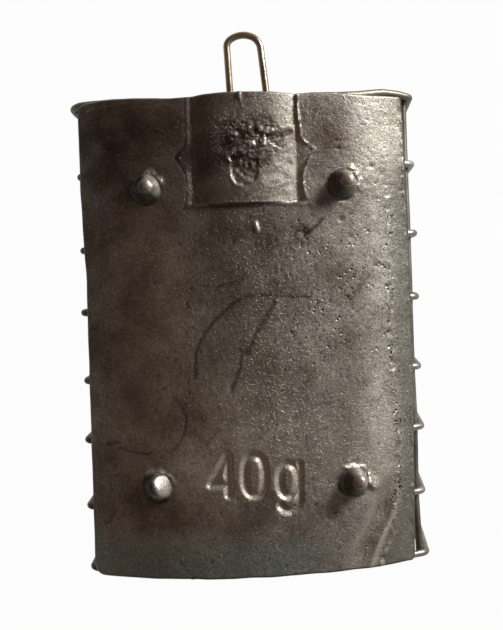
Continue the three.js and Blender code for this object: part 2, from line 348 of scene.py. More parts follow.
def arcPoints(centre, radii, start, end, steps, squareness=1):
    # points of an ellipse; a squareness below 1 takes it towards a rectangle
    points = []
    for angle in np.radians(np.linspace(start, end, steps + 1)):
        c, s = math.cos(angle), math.sin(angle)
        points.append((centre[0] + radii[0] * math.copysign(abs(c) ** squareness, c),
                       centre[1] + radii[1] * math.copysign(abs(s) ** squareness, s)))
    return points


# Lead plate: outline and relief, measured from the plate's own middle

plateLook = {
    "crown": 27.6,
    "radius": 31.0,
    "thickness": 2.25,
    "rounding": 0.22,  # worn edge
    "cornerRadius": 0.405,
    "lowLeftRadius": 1.17,
    "columns": 252,
    "rows": 312,
    "finerAcross": [(-6.0, 6.2, 0.9)],  # from, to, and how much denser the grid is there
    "finerAlong": [(-17.2, -10.6, 0.5), (12.2, 22.2, 0.9)],
    "coarser": 4,  # the inner face has one face for this many squared on the outer one
    "rimRings": [(0.12, -0.02), (0.5, 0.0), (0.92, 0.0), (1.0, 0.12)],  # share of the way down, and inset
}
edgeLook = {
    "left": -15.86,
    "leftSpread": (0.4, 4, 16),  # how much further out it goes, and between which places along the plate
    "right": 15.92,
    "rightBow": (0.0008, -8),
    "top": 22.55,
    "topBarrel": (0.2, 0.2, 3.0, 5.5),  # height, middle, and where it falls off
    "topFilm": (0.3, -15.9, -14.8, -11.0, -5.5),  # lead that ran over the wire at the left
    "topOverWire": (0.16, 5.4, 7.5, 9.5, 12.5),
    "bottom": -22.93,
    "bottomSlope": 0.031,
    "bottomBow": 0.0005,
    # size of the bumps, their height and their seed
    "leftWaver": (2.1, 0.04, 11),
    "rightWaver": (1.7, 0.04, 12),
    "topWaver": (1.3, 0.04, 13),
    "bottomWaver": (1.9, 0.05, 14),
}
studLook = {
    "places": [(-9.3, 14.18), (9.28, 14.15), (-8.95, -14.3), (9.8, -14.15)],
    "leans": [(0.18, 0.06), (0.42, 0.2), (0.3, 0.28), (0.5, 0.3)],  # of the tip, from upright
    "heights": [2.3, 2.3, 2.05, 2.3],
    "baseRadius": 1.42,
    "root": 1.4,  # depth to which it runs into the plate
    "tipRadii": [0.74, 0.74, 1.12, 0.74],
    "flares": [1.12, 1.12, 0.66, 1.12],  # how much the foot spreads; below 1 the side bulges
    "flats": {2: 2.14},  # stud: height at its middle of a flat worn towards the upper right
    "flatSlope": (0.85, 0.34, 0.27),  # to the right, up, and how much it swells
    "flatSoftness": 0.3,
    "sides": 56,
    "rings": 16,
    "domeSteps": 12,
    "wobble": 0.03,
    "flash": [(52, 45, 0.32), (20, 50, 0.28), (80, 70, 0.28), (60, 85, 0.36)],  # bearing, spread, height
    "flashReach": (1.5, 0.13, 0.24),  # distance of its ridge, how much that varies, and the ridge's half width
    "crumbs": (2.0, 0.35, 0.07),  # distance, half width and height
    "moat": (1.58, 0.1, 0.035),  # groove round the rest of the foot: distance, half width and depth
    "pinRing": (4.0, 0.07, 0.016),
    "spur": [(11.15, -14.3), (11.8, -14.8)],
    "spurSize": (0.42, 0.3),
    # how rubbed each stud is, how much painted light on its side towards the lamp, and how much painted shade on its
    # far side and at its foot
    "rubbed": [0.0, 0.6, 0.0, 0.3],
    "bare": [0.8, 0.6, 0.4, 0.5],
    "shadedFlank": [0.92, 0.5, 0.92, 0.65],
    "footShade": [0.9, 0.65, 0.9, 0.65],
    "tarnish": 0.8,
}
pocketLook = {
    "foot": 12.45,
    "left": -4.79,
    "right": 4.97,
    "barrelRadius": 11.2,
    "barrelRise": 0.45,
    "barrelSag": (0.12, 20, 12),  # how much lower at its foot, and between which places
    "leastWall": 0.2,
    "wallShape": 1.4,
    "groove": (0.05, 0.09),  # dark parting groove on the left: depth and half width
    "lip": (0.13, 0.11, 0.12),  # crumbled lip on the right: height, unevenness, half width
    "footBurr": (0.06, 0.09),
    # outline of the mould insert on each side: side, middle and radius of the stud's ring, half width, tip
    "insert": [(-1, (-9.38, 14.0), 4.08, 5.36, 16.8), (1, (9.6, 14.4), 4.0, 5.38, 17.2)],
    "flareLength": 1.9,
    "flareShape": 1.8,
    "rightTaper": (0.21, 18.6, 21.6),
}
scarLook = {
    # middle and reach of the torn patch, of the part below it, and of the flakes that stand up in it
    "torn": ((0.6, 18.4), (3.0, 1.9)),
    "tornFrom": (-3.4, -0.8),
    "below": ((-0.1, 16.7), (1.4, 1.2)),
    "belowShare": 0.8,
    "flakes": ((1.0, 18.6), (2.2, 1.0)),
    "flakeHeight": 0.13,
    "ridges": 0.15,
    "chips": 0.06,
    "lumps": 0.16,
    "sunk": 0.08,
    "furrow": [(1.6, 18.55), (3.0, 18.6), (4.3, 19.0)],
    "furrowSize": (0.2, 0.24),  # depth and half width
    "furrowRim": (0.03, 0.45, 0.16),
    # a sunk tongue with a rim on its left and a row of beads at its head
    "tongue": (0.12, 15.3),
    "tongueRadius": 1.35,
    "tongueDepth": (0.17, 0.1),
    "tongueTop": (16.2, 16.9),
    "tongueRim": (0.04, 0.04),
    "beads": ((0.2, 16.15), (0.75, 0.28), 0.14, 11),
    "ripples": 0.055,  # slanting waves to the right of the tongue
    "rippleSlant": (0.9, 0.43),
    "nib": (-0.25, 0.14, 0.22),  # at the head of the plate: place across, half width, height
    "seam": (0.22, 0.12, 0.05),
}
skinLook = {
    # size of the bumps, their height and their seed
    "waves": [(7.0, 0.05, 61), (2.6, 0.02, 62), (0.9, 0.012, 63), (0.42, 0.009, 64)],
    "marginAlong": [-21.7, -19, -16, -10.2, -6.3, 3.4, 15.1],  # where the right margin begins
    "marginAcross": [12.45, 13.7, 14.2, 14.35, 13.95, 13.6, 13.75],
    "marginStep": (0.09, 0.4),  # how far down it steps, and over what width
    "leftStep": (0.015, -14.2, -14.8),
    "crumbs": (0.14, 0.09),  # height at the foot, and how much less at the head
    "crumbSize": (0.32, 65),
    "fold": [(-15.0, 21.9), (-13.4, 22.1), (-11.2, 22.3)],
    "foldSize": (0.07, 0.16),
    "edgeBurr": (0.25, 0.12, 0.03, 0.1),  # inset, half width, height and unevenness
    # a long dent near the lower right corner: its line, and each ridge or hollow beside it
    "dentAlong": [-23.4, -21.9, -19.8, -17.8, -15.9, -14.6],
    "dentAcross": [11.2, 11.5, 12.4, 13.5, 14.1, 14.2],
    "dentRidges": [(0.0, 0.4, 0.17), (1.5, 0.8, -0.34), (3.1, 0.7, 0.07)],  # distance, half width, height
    "chip": [(1.0, 10.55), (1.18, 9.95)],
    "chipSize": (0.2, 0.19),
    "hairDepth": 0.05,
    # the pits that stand out: place and radius
    "pits": [(7.83, 3.15, 0.16), (12.33, 6.43, 0.24), (8.76, 6.51, 0.14), (11.28, 19.72, 0.15), (12.03, 15.83, 0.2),
             (9.04, 10.84, 0.24), (9.96, 9.22, 0.2), (5.5, 9.75, 0.32), (3.29, 6.17, 0.15), (3.65, 5.51, 0.17),
             (3.73, 4.95, 0.13), (-11.24, 4.13, 0.15)],
    "pitCount": 330,
    "pitRadii": (0.07, 0.15),
    "pitCrowd": ((9, 3), (5, 9)),
}
markLook = {"depth": 0.34, "halfWidth": 0.5, "softness": 0.03, "shape": 0.95}
# dark hairs of the mould, each a path, its half width and its strength
hairs = [
    ([(-5.05, -3.8), (-4.93, -1.5), (-4.3, 0.0), (-3.2, 1.4), (-1.65, 2.8), (-0.9, 3.4)], 0.2, 0.66),  # arc
    ([(-0.9, 3.4), (0.0, 3.78), (2.7, 3.78), (6.04, 3.6)], 0.1, 0.85),
    ([(2.54, 3.1), (1.7, 1.72), (0.78, 0.25), (0.4, -0.7), (-0.16, -1.6)], 0.22, 0.6),  # stem below it
    ([(-0.16, -1.4), (-0.64, -1.8), (-0.76, -2.9), (-1.26, -4.2), (-1.6, -5.16)], 0.16, 0.6),
    ([(0.4, -0.7), (-0.2, -1.5), (-0.94, -1.2)], 0.12, 0.5),
    ([(-3.97, 4.8), (-1.8, 4.9), (-0.66, 5.2), (0.0, 5.84)], 0.14, 0.5),
    ([(-6.9, -5.8), (-7.5, -6.5)], 0.14, 0.5),
    ([(-6.0, -7.4), (-6.1, -8.4), (-6.42, -9.5)], 0.12, 0.6),
    ([(7.33, 10.9), (6.63, 10.2), (5.5, 9.3)], 0.17, 0.9),
    ([(11.7, 5.5), (9.74, 3.2)], 0.22, 0.4),
    ([(-14.1, -10.4), (-12.7, -10.15)], 0.13, 0.7),  # at the left edge
    ([(-12.8, -10.7), (-11.4, -11.04), (-9.8, -11.2), (-9.44, -10.84)], 0.1, 0.65),
    ([(-7.6, -11.0), (-6.67, -10.0), (-6.2, -9.0), (-6.06, -7.3), (-6.6, -6.2), (-7.4, -5.6)], 0.12, 0.45),
    ([(-15.0, -18.3), (-13.9, -18.0), (-13.5, -17.0)], 0.09, 0.6),
    ([(-4.2, -10.2), (-2.8, -8.7)], 0.1, 0.5),
]
wearAndLightLook = {
    # darker and lighter places: middle, reach along x and y, strength.
    # The first two smudges and the last four, at the left and lower left of the studs, are painted stud shadows, and
    # the one at (7.9, 19.6) is painted shade; the rest are darker places of the casting.
    "smudgesAndShadows": [
        (-10.6, 14.1, 1.1, 1.3, 0.65), (-10.5, -15.4, 1.9, 1.3, 0.6), (3.0, 10.4, 4.2, 2.4, 0.3),
        (-1.5, 4.0, 3.0, 7.0, 0.34), (5.0, -17.5, 5.0, 2.4, 0.34), (7.9, 19.6, 2.0, 3.4, 0.55),
        (7.0, 16.2, 1.5, 2.2, 0.5), (-12.5, 19.0, 7.5, 7.0, 0.6), (-3.4, 18.0, 2.4, 7.0, 0.6),
        (-15.5, 8.0, 1.6, 12.0, 0.35), (5.3, 9.7, 1.1, 0.6, 0.6), (13.5, -20.5, 3.0, 3.0, 0.2),
        (9.0, -15.9, 1.0, 0.9, 0.5), (8.2, -17.0, 1.1, 1.0, 0.45), (7.9, 12.9, 1.0, 0.9, 0.45),
        (7.1, 11.9, 1.1, 1.0, 0.35),
    ],
    # lighter places: the three along the right side, at x near 12.7, are painted highlight; the rest are worn film
    "barePatches": [
        (-5.4, -12.4, 3.2, 2.6, 1.0), (-0.5, -9.8, 5.0, 3.6, 0.6), (12.8, 17.8, 2.6, 4.5, 0.45),
        (4.0, 19.6, 1.0, 2.2, 0.8), (3.5, 15.4, 1.8, 3.2, 1.0), (12.8, 6.0, 2.2, 9.0, 0.6),
        (12.6, -9.5, 2.2, 8.5, 1.0), (5.0, -12.5, 4.0, 3.0, 0.2), (-8.0, -20.5, 6.5, 1.6, 0.5),
    ],
    # how dark each kind of place is made: dirt in pits, groove, scar, furrow and margin; painted shade on the pocket's
    # left wall and along the edges, painted shadow below the pocket's foot
    "pits": 0.75,
    "groove": 0.85,
    "leftWallShade": 0.72,
    "pocketFoot": 0.6,
    "edges": 0.75,
    "scar": 0.74,
    "furrow": 0.9,
    "margin": 0.24,
    "alongMargin": 0.5,
    "scarPlace": ((0.4, 18.0), (2.9, 2.3)),
    "furrowPath": [(1.6, 18.45), (3.0, 18.5), (4.2, 18.9)],
    "knocks": [([(1.0, 10.55), (1.18, 9.95)], 0.25), ([(11.2, -14.3), (11.9, -14.9)], 0.3)],
    "rightWallLight": 0.8,  # painted light on the pocket's right wall, which faces away from the lamp
    # painted highlight on the lit wall of the dent: distance from its line, half width, strength
    "dentWallLight": (2.3, 0.6, 0.7),
    "tarnish": 0.8,  # green at the foot of the plate
    "tarnishTop": (-18.3, -20.5),
    "marginTarnish": 0.24,
    "marginRubbed": 0.5,
    "footRubbed": 0.6,
    # how pitted: everywhere, in the patch at the right, and along the margin
    "pitted": 0.15,
    "pittedPatch": ((8.5, 4), (6, 11)),
    "pittedInPatch": 0.9,
    "pittedMargin": 2.0,
}


def waver(t, size, height, seed):
    return height * unevenness(t, 0 * t, size, seed)


def leftEdge(y):
    amount, low, high = edgeLook["leftSpread"]
    return edgeLook["left"] - amount * smoothStep(low, high, y) + waver(y, *edgeLook["leftWaver"])


def rightEdge(y):
    bow, middle = edgeLook["rightBow"]
    return edgeLook["right"] - bow * (y - middle) ** 2 + waver(y, *edgeLook["rightWaver"])


def topEdge(x):
    barrel, middle, full, end = edgeLook["topBarrel"]
    edge = edgeLook["top"] + barrel * (1 - smoothStep(full, end, np.abs(x - middle)))
    for height, *reach in (edgeLook["topFilm"], edgeLook["topOverWire"]):
        edge = edge + height * between(x, *reach)
    return edge + waver(x, *edgeLook["topWaver"])


def bottomEdge(x):
    look = edgeLook
    return look["bottom"] + look["bottomSlope"] * x - look["bottomBow"] * x**2 + waver(x, *look["bottomWaver"])


def insertLines(y):
    # outline of the pocket's mould insert on each side: straight, a flare to a tip, then round the stud's ring
    look = pocketLook
    taper, low, high = look["rightTaper"]
    lines = []
    for side, (centreX, centreY), radius, halfWidth, tip in look["insert"]:
        ring = abs(centreX) - np.sqrt(np.clip(radius**2 - (y - centreY) ** 2, 0, None))
        atTip = abs(centreX) - math.sqrt(radius**2 - (tip - centreY) ** 2)
        flare = (1 - smoothStep(tip, tip + look["flareLength"], y)) ** look["flareShape"]
        straight = halfWidth - taper * smoothStep(low, high, y) * (side > 0)
        lines.append(side * np.where(y > tip, straight + (atTip - straight) * flare, ring))
    return lines


def weightMark():
    # plain recessed strokes: a four, a nought and a g
    four = [(-2.12, -14.95), (-2.15, -11.25), (-3.8, -13.98), (-1.95, -13.95)]
    nought = arcPoints((0.36, -13.12), (0.95, 1.9), 0, 360, 40, 0.8)
    bowl = arcPoints((3.55, -13.65), (0.88, 1.5), 0, 360, 36, 0.86)
    tail = [(4.55, -12.2), (4.52, -15.55)] + arcPoints((3.58, -15.55), (0.94, 1.0), 0, -152, 12)[1:]
    return [four, nought, bowl, tail]


def outerFace(x):
    return plateLook["crown"] - plateLook["radius"] + np.sqrt(plateLook["radius"] ** 2 - x**2)


def pocketRelief(x, y, face):
    # the head of the plate: a barrel of lead that holds the link, in a pocket as wide as its mould insert
    look = pocketLook
    leftLine, rightLine = insertLines(y)
    inside = np.minimum(x - leftLine, rightLine - x)
    middle, radius = (look["left"] + look["right"]) / 2, look["barrelRadius"]
    sag, head, foot = look["barrelSag"]
    crown = plateLook["crown"] + look["barrelRise"] - sag * smoothStep(head, foot, y)
    barrel = crown - radius + np.sqrt(radius**2 - (x - middle) ** 2)
    toBarrel = np.minimum(x - look["left"], look["right"] - x)
    atEdge = crown - radius + math.sqrt(radius**2 - (look["right"] - middle) ** 2)
    wallRun = np.where(x < middle, look["left"] - leftLine, rightLine - look["right"])
    wallShare = np.clip(-toBarrel / np.maximum(wallRun, look["leastWall"]), 0, 1)
    wall = atEdge + (face - atEdge) * wallShare ** look["wallShape"]
    alongY = smoothStep(look["foot"] - 0.07, look["foot"] + 0.07, y)
    relief = (np.where(toBarrel > 0, barrel, wall) - face) * alongY * smoothStep(-0.05, 0.05, inside)
    depth, halfWidth = look["groove"]
    relief -= depth * bell(inside, halfWidth) * alongY * (x < 0)
    height, uneven, halfWidth = look["lip"]
    lip = bell(inside - 0.08, halfWidth) * alongY * (x > 0) * smoothStep(12.6, 13.2, y)
    relief += lip * (height + uneven * unevenness(x, y, 0.33, 21))
    height, halfWidth = look["footBurr"]
    burr = bell(y - look["foot"] - 0.1, halfWidth) * (toBarrel > -0.5) * (1 - smoothStep(3.4, 4.2, x))
    return relief + height * burr * (1 - bell(x - 0.5, 0.2))


def flakes(x, y):
    # sharp flakes that stand up in the scar and catch the light
    return spot(x, y, *scarLook["flakes"], 4) * smoothStep(0.3, 0.7, unevenness(x * 0.8, y, 0.27, 30))


def gateScar(x, y):
    # where the metal was poured and broken off: torn across, with a sunk tongue below it
    look = scarLook
    torn = spot(x, y, *look["torn"], 4) * smoothStep(*look["tornFrom"], x)
    torn += look["belowShare"] * spot(x, y, *look["below"], 4)
    ridges = 0.5 - np.abs(unevenness(x * 0.42 + 0.1 * y, y, 0.3, 31))
    relief = np.clip(torn, 0, 1) * (
        look["ridges"] * ridges + look["chips"] * unevenness(x * 0.7, y, 0.2, 32)
        + look["lumps"] * unevenness(x * 0.7, y, 1.1, 33) - look["sunk"]
    )
    furrow = strokeDistance(x, y, [look["furrow"]])
    depth, halfWidth = look["furrowSize"]
    relief -= depth * bell(furrow, halfWidth)
    height, away, halfWidth = look["furrowRim"]
    relief += height * bell(furrow - away, halfWidth) * (y > 18.7)

    across, along = (x - look["tongue"][0]) / look["tongueRadius"], (y - look["tongue"][1]) / look["tongueRadius"]
    tongue = np.where(along > 0, np.abs(across), np.hypot(across, along))
    fade = 1 - smoothStep(*look["tongueTop"], y)
    depth, uneven = look["tongueDepth"]
    relief += fade * (1 - smoothStep(0.82, 1.0, tongue)) * (uneven * unevenness(x, y, 0.36, 35) - depth)
    height, uneven = look["tongueRim"]
    rim = fade * bell(tongue - 1.06, 0.09) * (1 - smoothStep(-0.4, 0.6, x))
    relief += rim * (height + uneven * unevenness(x, y, 0.4, 36))
    (beadX, beadY), (reachX, reachY), height, frequency = look["beads"]
    beads = bell(y - beadY, reachY) * bell(x - beadX, reachX, 4)
    relief += height * beads * (0.5 + 0.5 * np.sin((x - 0.1) * frequency))

    cosine, sine = look["rippleSlant"]
    slanted = unevenness((x * cosine + y * sine) * 0.35, y * cosine - x * sine, 0.34, 34)
    relief += look["ripples"] * slanted * between(x, 0.3, 2.0, 4.3, 4.8) * between(y, 12.7, 13.2, 17.0, 18.5)
    nibX, halfWidth, height = look["nib"]
    relief += height * bell(x - nibX, halfWidth) * smoothStep(21.8, 22.6, y)
    slope, halfWidth, height = look["seam"]
    seam = height * bell(x - nibX - slope * (22.6 - y), halfWidth) * smoothStep(20.9, 21.6, y)
    return relief + seam + look["flakeHeight"] * flakes(x, y)


def studFlash(x, y):
    # lead squeezed out round the upper right of each stud's foot, and the rings of the studs' mould pins
    look = studLook
    relief = np.zeros_like(x)
    for index, ((centreX, centreY), (bearing, spread, height)) in enumerate(zip(look["places"], look["flash"])):
        away = np.hypot(x - centreX, y - centreY)
        angle = np.degrees(np.arctan2(y - centreY, x - centreX)) - bearing
        sector = bell((angle + 180) % 360 - 180, spread, 4)
        reach, varies, halfWidth = look["flashReach"]
        crescent = bell(away - reach - varies * unevenness(x, y, 0.9, 45 + index), halfWidth) * sector
        relief += crescent * height * (0.8 + 0.7 * unevenness(x, y, 0.34, 41 + index))
        reach, halfWidth, height = look["crumbs"]
        relief += height * bell(away - reach, halfWidth) * sector * unevenness(x, y, 0.27, 48 + index)
        reach, halfWidth, depth = look["moat"]
        relief -= depth * bell(away - reach, halfWidth) * (1 - sector)
        reach, halfWidth, depth = look["pinRing"]
        relief -= depth * bell(away - reach, halfWidth) * (np.abs(x) > 5.6)
    height, halfWidth = look["spurSize"]
    return relief + height * bell(strokeDistance(x, y, [look["spur"]]), halfWidth)


def pitPlaces():
    # places and radii of the pits: the ones that stand out, then a scatter, denser to the right
    look = skinLook
    pits = list(look["pits"])
    (middleX, middleY), (reachX, reachY) = look["pitCrowd"]
    chance = np.random.default_rng(51)
    while len(pits) < look["pitCount"]:
        place = (chance.uniform(-15.3, 15.3), chance.uniform(-22, 22))
        crowd = math.exp(-(((place[0] - middleX) / reachX) ** 2) - ((place[1] - middleY) / reachY) ** 2)
        inHead = abs(place[0]) < 5.2 and place[1] > 12.4
        if chance.uniform() < 0.15 + 0.85 * crowd and not inHead:
            pits.append((*place, chance.uniform(*look["pitRadii"])))
    return pits


def besideDent(x, y):
    return x - np.interp(y, skinLook["dentAlong"], skinLook["dentAcross"])


def besideMargin(x, y):
    return x - np.interp(y, skinLook["marginAlong"], skinLook["marginAcross"])


def scars(x, y):
    # hairs of the mould, a dent near the lower right corner, a bright chip, and pits
    look = skinLook
    relief = np.zeros_like(x)
    for points, width, strength in hairs:
        relief -= look["hairDepth"] * strength * bell(strokeDistance(x, y, [points]), width)
    beside = besideDent(x, y)
    dent = sum(height * bell(beside + away, halfWidth) for away, halfWidth, height in look["dentRidges"])
    relief += dent * smoothStep(-13.6, -16.4, y) * (1 - 0.85 * smoothStep(-20.6, -22.6, y))
    height, halfWidth = look["chipSize"]
    relief += height * bell(strokeDistance(x, y, [look["chip"]]), halfWidth)
    for pitX, pitY, radius in pitPlaces():
        near = ((x - pitX) ** 2 + (y - pitY) ** 2) / radius**2
        relief -= np.where(near < 9, 0.5 * radius * np.exp(-np.minimum(near, 9)), 0)
    return relief


def castSkin(x, y):
    # the skin that the mould leaves: slow waves, a grain, and a crumbled line inside the right margin
    look = skinLook
    relief = sum(height * unevenness(x, y, size, seed) for size, height, seed in look["waves"])
    beside = besideMargin(x, y)
    height, lessAtHead = look["crumbs"]
    crumbs = smoothStep(0.1, 0.5, unevenness(x, y, *look["crumbSize"])) - 0.3
    crumbled = bell(beside, 0.3) * (1 - smoothStep(15.0, 18.5, y)) * crumbs
    relief += crumbled * (height - lessAtHead * smoothStep(5, 11, y))
    depth, width = look["marginStep"]
    relief -= depth * smoothStep(0, width, beside)
    depth, start, end = look["leftStep"]
    relief -= depth * smoothStep(start, end, x)
    height, halfWidth = look["foldSize"]
    relief += height * bell(strokeDistance(x, y, [look["fold"]]), halfWidth)
    inset, halfWidth, height, uneven = look["edgeBurr"]
    return relief + bell(x - rightEdge(y) + inset, halfWidth) * (height + uneven * unevenness(x, y, 0.4, 67))


def markSlope(x, y):
    # 0 outside the mark's grooves, 1 at their bottom
    look = markLook
    share = np.clip(strokeDistance(x, y, weightMark()) / look["halfWidth"], 0, 1)
    soft = np.sqrt(share**2 + look["softness"]) - 0.06 * share
    return np.clip((1 - soft) / (1 - math.sqrt(look["softness"])), 0, 1) ** look["shape"]


def plateHeight(x, y):
    face = outerFace(x)
    height = face + pocketRelief(x, y, face) + studFlash(x, y) + scars(x, y) + castSkin(x, y)
    height -= markLook["depth"] * markSlope(x, y)
    inHead = smoothStep(pocketLook["foot"] + 0.1, pocketLook["foot"] + 0.4, y)
    return height + gateScar(x, y) * inHead * (np.abs(x - 0.1) < 4.8)


def plateDirtAndShade(x, y, inHead, scar):
    # dirt in the hairs, pits, groove, scar and furrow; painted shade on the pocket's left wall and along the edges, and
    # painted shadow below the pocket's foot; then the smudges, some of them painted stud shadows, over them all
    look = wearAndLightLook
    leftLine, rightLine = insertLines(y)
    layers = [strength * bell(strokeDistance(x, y, [stroke]), width) for stroke, width, strength in hairs]
    pits = np.full_like(x, 30.0)
    for pitX, pitY, radius in pitPlaces():
        pits = np.minimum(pits, ((x - pitX) ** 2 + (y - pitY) ** 2) / (radius * 0.9) ** 2)
    layers.append(look["pits"] * np.exp(-pits))
    layers.append(look["groove"] * bell(x - leftLine, 0.12) * inHead)
    # painted shade on the pocket's left wall, which faces the lamp
    layers.append(look["leftWallShade"] * (x < pocketLook["left"]) * (x > leftLine) * inHead)
    # painted shadow below the step at the barrel's foot
    belowFootShadow = bell(y - pocketLook["foot"] + 0.25, 0.22) * (x > leftLine) * (x < rightLine)
    layers.append(look["pocketFoot"] * belowFootShadow)
    # painted shade along the plate's edges
    toEdge = np.minimum.reduce([x - leftEdge(y), rightEdge(y) - x, y - bottomEdge(x)])
    layers.append(look["edges"] * bell(np.maximum(toEdge, 0), 0.2))
    layers.append(scar * (look["scar"] + 0.5 * unevenness(x, y, 0.6, 37)))
    layers.append(look["furrow"] * bell(strokeDistance(x, y, [look["furrowPath"]]), 0.26))
    dirtAndShade = np.maximum.reduce(layers) * (1 - flakes(x, y))
    # smudges: darker places, and painted shadows at the lower left of the studs
    for midX, midY, radiusX, radiusY, strength in look["smudgesAndShadows"]:
        blot = spot(x, y, (midX, midY), (radiusX, radiusY))
        blot *= np.clip(strength * (1 + 0.4 * unevenness(x, y, 1.3, 39)), 0, 1)
        dirtAndShade = 1 - (1 - dirtAndShade) * (1 - blot)
    return dirtAndShade


def plateBareAndLit(x, y, inHead):
    # where the film is worn or broken off, lighter in the mark's grooves and on the scar's flakes, with painted
    # highlights along the right side and on the dent, and painted light on the pocket's right wall
    look = wearAndLightLook
    patches = [strength * spot(x, y, (midX, midY), (radiusX, radiusY))
               for midX, midY, radiusX, radiusY, strength in look["barePatches"]]
    layers = [np.maximum.reduce(patches) * (1 + 0.5 * unevenness(x, y, 1.1, 40))]
    onMargin = bell(besideMargin(x, y), 0.35) * (1 - smoothStep(8, 14, y))
    layers.append(onMargin * smoothStep(0.1, 0.5, unevenness(x, y, *skinLook["crumbSize"])))
    layers += [bell(strokeDistance(x, y, [knock]), reach, 4) for knock, reach in look["knocks"]]
    # painted highlights on the dent's ridge and on its lit wall
    beside = besideDent(x, y)
    layers.append(bell(beside - 0.1, 0.4) * (y < -15.5))
    away, halfWidth, strength = look["dentWallLight"]
    alongDent = smoothStep(-14.8, -16.5, y) * smoothStep(-22.0, -19.5, y)
    layers.append(strength * bell(beside + away, halfWidth) * alongDent)
    layers += [smoothStep(0.0, 0.4, markSlope(x, y)), flakes(x, y)]
    rightLine = insertLines(y)[1]
    # painted light on the pocket's right wall
    layers.append(look["rightWallLight"] * (x > pocketLook["right"]) * (x < rightLine - 0.05) * inHead)
    return np.maximum.reduce(layers)


def studWearAndLight(wearAndLight, x, y, z):
    # each stud is tarnished below, with painted light on its side towards the lamp and painted shade on the side away
    # from it and round the lower left of its foot
    look = studLook
    above = z - outerFace(x)
    for index, (centreX, centreY) in enumerate(look["places"]):
        right, up = x - centreX, y - centreY
        away = np.hypot(right, up)
        onStud = (away < 1.75) & (above > 0.12)
        tarnish = look["tarnish"] * smoothStep(0.2, -1.2, up + 0.3 * right) * smoothStep(1.9, 1.2, above)
        # painted light towards the lamp at the upper right
        lit = 0.2 + look["bare"][index] * smoothStep(-0.2, 0.9, 0.8 * right + 0.6 * up)
        wearAndLight["tarnish"] = np.where(onStud, tarnish, wearAndLight["tarnish"])
        wearAndLight["rubbed"] = np.where(onStud, look["rubbed"][index], wearAndLight["rubbed"])
        wearAndLight["bare"] = np.where(onStud, lit, wearAndLight["bare"])
        # painted shade round the lower left of the foot
        ring = bell(away - 1.5, 0.16) * (above < 0.5) * smoothStep(0.4, -0.6, right + up)
        wearAndLight["dirtAndShade"] = np.maximum(wearAndLight["dirtAndShade"], look["footShade"][index] * ring)
        # painted shade on the flank away from the lamp
        shadedFlank = look["shadedFlank"][index] * smoothStep(0.4, -0.7, right)
        wearAndLight["dirtAndShade"] = np.where(onStud & (above > 0.4), shadedFlank, wearAndLight["dirtAndShade"])
        wearAndLight["pitted"] = wearAndLight["pitted"] * smoothStep(1.2, 1.9, away)


def plateWearAndLight(points):
    # how dirty, tarnished, rubbed and pitted the casting is at each point, with the painted light and shade
    look = wearAndLightLook
    x, y, z = points.T
    y = y - plateMiddle
    outer = z > outerFace(np.clip(x, -30, 30)) - 1.1
    inHead = y > pocketLook["foot"] - 0.1
    scar = spot(x, y, *look["scarPlace"], 4)
    beside = besideMargin(x, y)
    margin = smoothStep(0.0, 1.1, beside) * (1 - smoothStep(14.5, 17.5, y))
    along = bell(beside, 0.2) * smoothStep(-0.05, 0.45, unevenness(x, y, 0.36, 68)) * (1 - smoothStep(6, 12, y))
    foot = smoothStep(*look["tarnishTop"], y) * (1 - smoothStep(3, 9, x)) * (0.9 + 0.2 * unevenness(x, y, 1.5, 38))
    crumbled = bell(beside, 0.5) * (1 - smoothStep(8, 16, y)) * smoothStep(-20.0, -16.5, y)
    atPocketFoot = bell(y - pocketLook["foot"] - 0.12, 0.12) * (np.abs(x) < 4.7)
    wearAndLight = {
        "dirtAndShade": np.maximum.reduce([
            plateDirtAndShade(x, y, inHead, scar), look["margin"] * margin, look["alongMargin"] * along,
        ]),
        "tarnish": np.maximum(look["tarnish"] * foot, look["marginTarnish"] * margin * outer),
        "rubbed": np.maximum(look["footRubbed"] * atPocketFoot, look["marginRubbed"] * margin),
        "bare": plateBareAndLit(x, y, inHead),
        "pitted": (look["pitted"] + look["pittedInPatch"] * spot(x, y, *look["pittedPatch"])
                   + look["pittedMargin"] * crumbled + scar),
    }
    studWearAndLight(wearAndLight, x, y, z)
    for name in ("dirtAndShade", "bare", "pitted"):
        wearAndLight[name] = wearAndLight[name] * outer
    return wearAndLight


def unevenSteps(low, high, count, zones):
    # count steps from low to high, finer inside the zones and at both ends
    sample = np.linspace(low, high, 6001)
    density = np.ones_like(sample)
    for start, end, extra in zones:
        density += extra * between(sample, start - 0.5, start, end, end + 0.5)
    fromEnd = np.minimum(sample - low, high - sample)
    density += 2.2 * (1 - smoothStep(0.1, 0.5, fromEnd))
    travelled = np.concatenate([[0], np.cumsum((density[1:] + density[:-1]) / 2)])
    return np.interp(np.linspace(0, travelled[-1], count + 1), travelled, sample)


